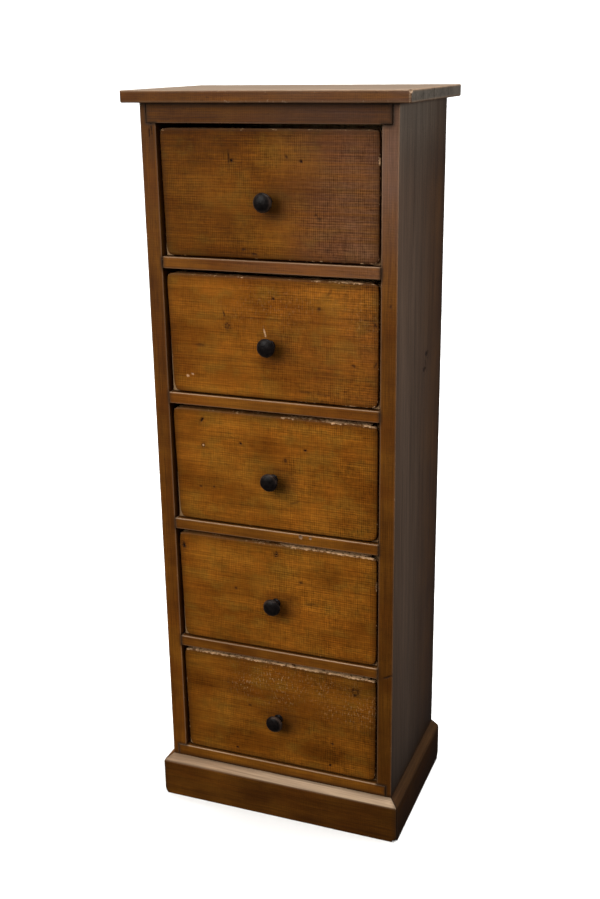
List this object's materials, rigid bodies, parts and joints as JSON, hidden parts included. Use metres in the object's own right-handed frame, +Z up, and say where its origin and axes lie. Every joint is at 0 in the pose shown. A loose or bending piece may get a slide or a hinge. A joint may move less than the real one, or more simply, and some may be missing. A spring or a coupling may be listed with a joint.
{
  "type": "tall chest of drawers",
  "caption": "Tall, narrow solid pine chest with inset drawers on side runners, black mushroom knobs, an overhanging top and a chamfered plinth.",
  "frame": {"origin": "on the floor, in the middle of the whole chest's width and depth, knobs included", "axes": "+Z up, +Y to the back, so the drawers face and open towards -Y; +X to the right seen from the front"},
  "size_m": [0.444, 0.282, 1.2],
  "materials": {
    "frame_pine": "waxed and worn, stained red-brown",
    "drawer_pine": "waxed and worn, stained golden brown",
    "raw_pine": "bare, planed",
    "plywood": "bare, sanded",
    "black_metal": "blackened, polished by handling",
    "steel": "zinc plated"
  },
  "bodies": {
    "carcass": {"side_panel_left": "frame_pine", "side_panel_right": "frame_pine", "top_board": "frame_pine", "top_rail_front": "frame_pine", "top_rail_back": "raw_pine", "bottom_rail_front": "frame_pine", "bottom_board": "raw_pine", "back_panel": "plywood", "plinth_front": "frame_pine", "plinth_left": "frame_pine", "plinth_right": "frame_pine", "divider_rail_1": "frame_pine", "divider_rail_2": "frame_pine", "divider_rail_3": "frame_pine", "divider_rail_4": "frame_pine", "runner_1_left": "raw_pine", "runner_1_right": "raw_pine", "runner_2_left": "raw_pine", "runner_2_right": "raw_pine", "runner_3_left": "raw_pine", "runner_3_right": "raw_pine", "runner_4_left": "raw_pine", "runner_4_right": "raw_pine", "runner_5_left": "raw_pine", "runner_5_right": "raw_pine"},
    "drawer_1": {"drawer_1_front": "drawer_pine", "drawer_1_side_left": "raw_pine", "drawer_1_side_right": "raw_pine", "drawer_1_back": "raw_pine", "drawer_1_bottom": "plywood", "drawer_1_knob": "black_metal", "drawer_1_knob_screw": "steel"},
    "drawer_2": {"drawer_2_front": "drawer_pine", "drawer_2_side_left": "raw_pine", "drawer_2_side_right": "raw_pine", "drawer_2_back": "raw_pine", "drawer_2_bottom": "plywood", "drawer_2_knob": "black_metal", "drawer_2_knob_screw": "steel"},
    "drawer_3": {"drawer_3_front": "drawer_pine", "drawer_3_side_left": "raw_pine", "drawer_3_side_right": "raw_pine", "drawer_3_back": "raw_pine", "drawer_3_bottom": "plywood", "drawer_3_knob": "black_metal", "drawer_3_knob_screw": "steel"},
    "drawer_4": {"drawer_4_front": "drawer_pine", "drawer_4_side_left": "raw_pine", "drawer_4_side_right": "raw_pine", "drawer_4_back": "raw_pine", "drawer_4_bottom": "plywood", "drawer_4_knob": "black_metal", "drawer_4_knob_screw": "steel"},
    "drawer_5": {"drawer_5_front": "drawer_pine", "drawer_5_side_left": "raw_pine", "drawer_5_side_right": "raw_pine", "drawer_5_back": "raw_pine", "drawer_5_bottom": "plywood", "drawer_5_knob": "black_metal", "drawer_5_knob_screw": "steel"}
  },
  "joints": [
    {"name": "drawer_1_slide", "type": "slide", "parent": "carcass", "child": "drawer_1", "axis": [0, -1, 0], "range_m": [0, 0.19]},
    {"name": "drawer_2_slide", "type": "slide", "parent": "carcass", "child": "drawer_2", "axis": [0, -1, 0], "range_m": [0, 0.19]},
    {"name": "drawer_3_slide", "type": "slide", "parent": "carcass", "child": "drawer_3", "axis": [0, -1, 0], "range_m": [0, 0.19]},
    {"name": "drawer_4_slide", "type": "slide", "parent": "carcass", "child": "drawer_4", "axis": [0, -1, 0], "range_m": [0, 0.19]},
    {"name": "drawer_5_slide", "type": "slide", "parent": "carcass", "child": "drawer_5", "axis": [0, -1, 0], "range_m": [0, 0.19]}
  ]
}
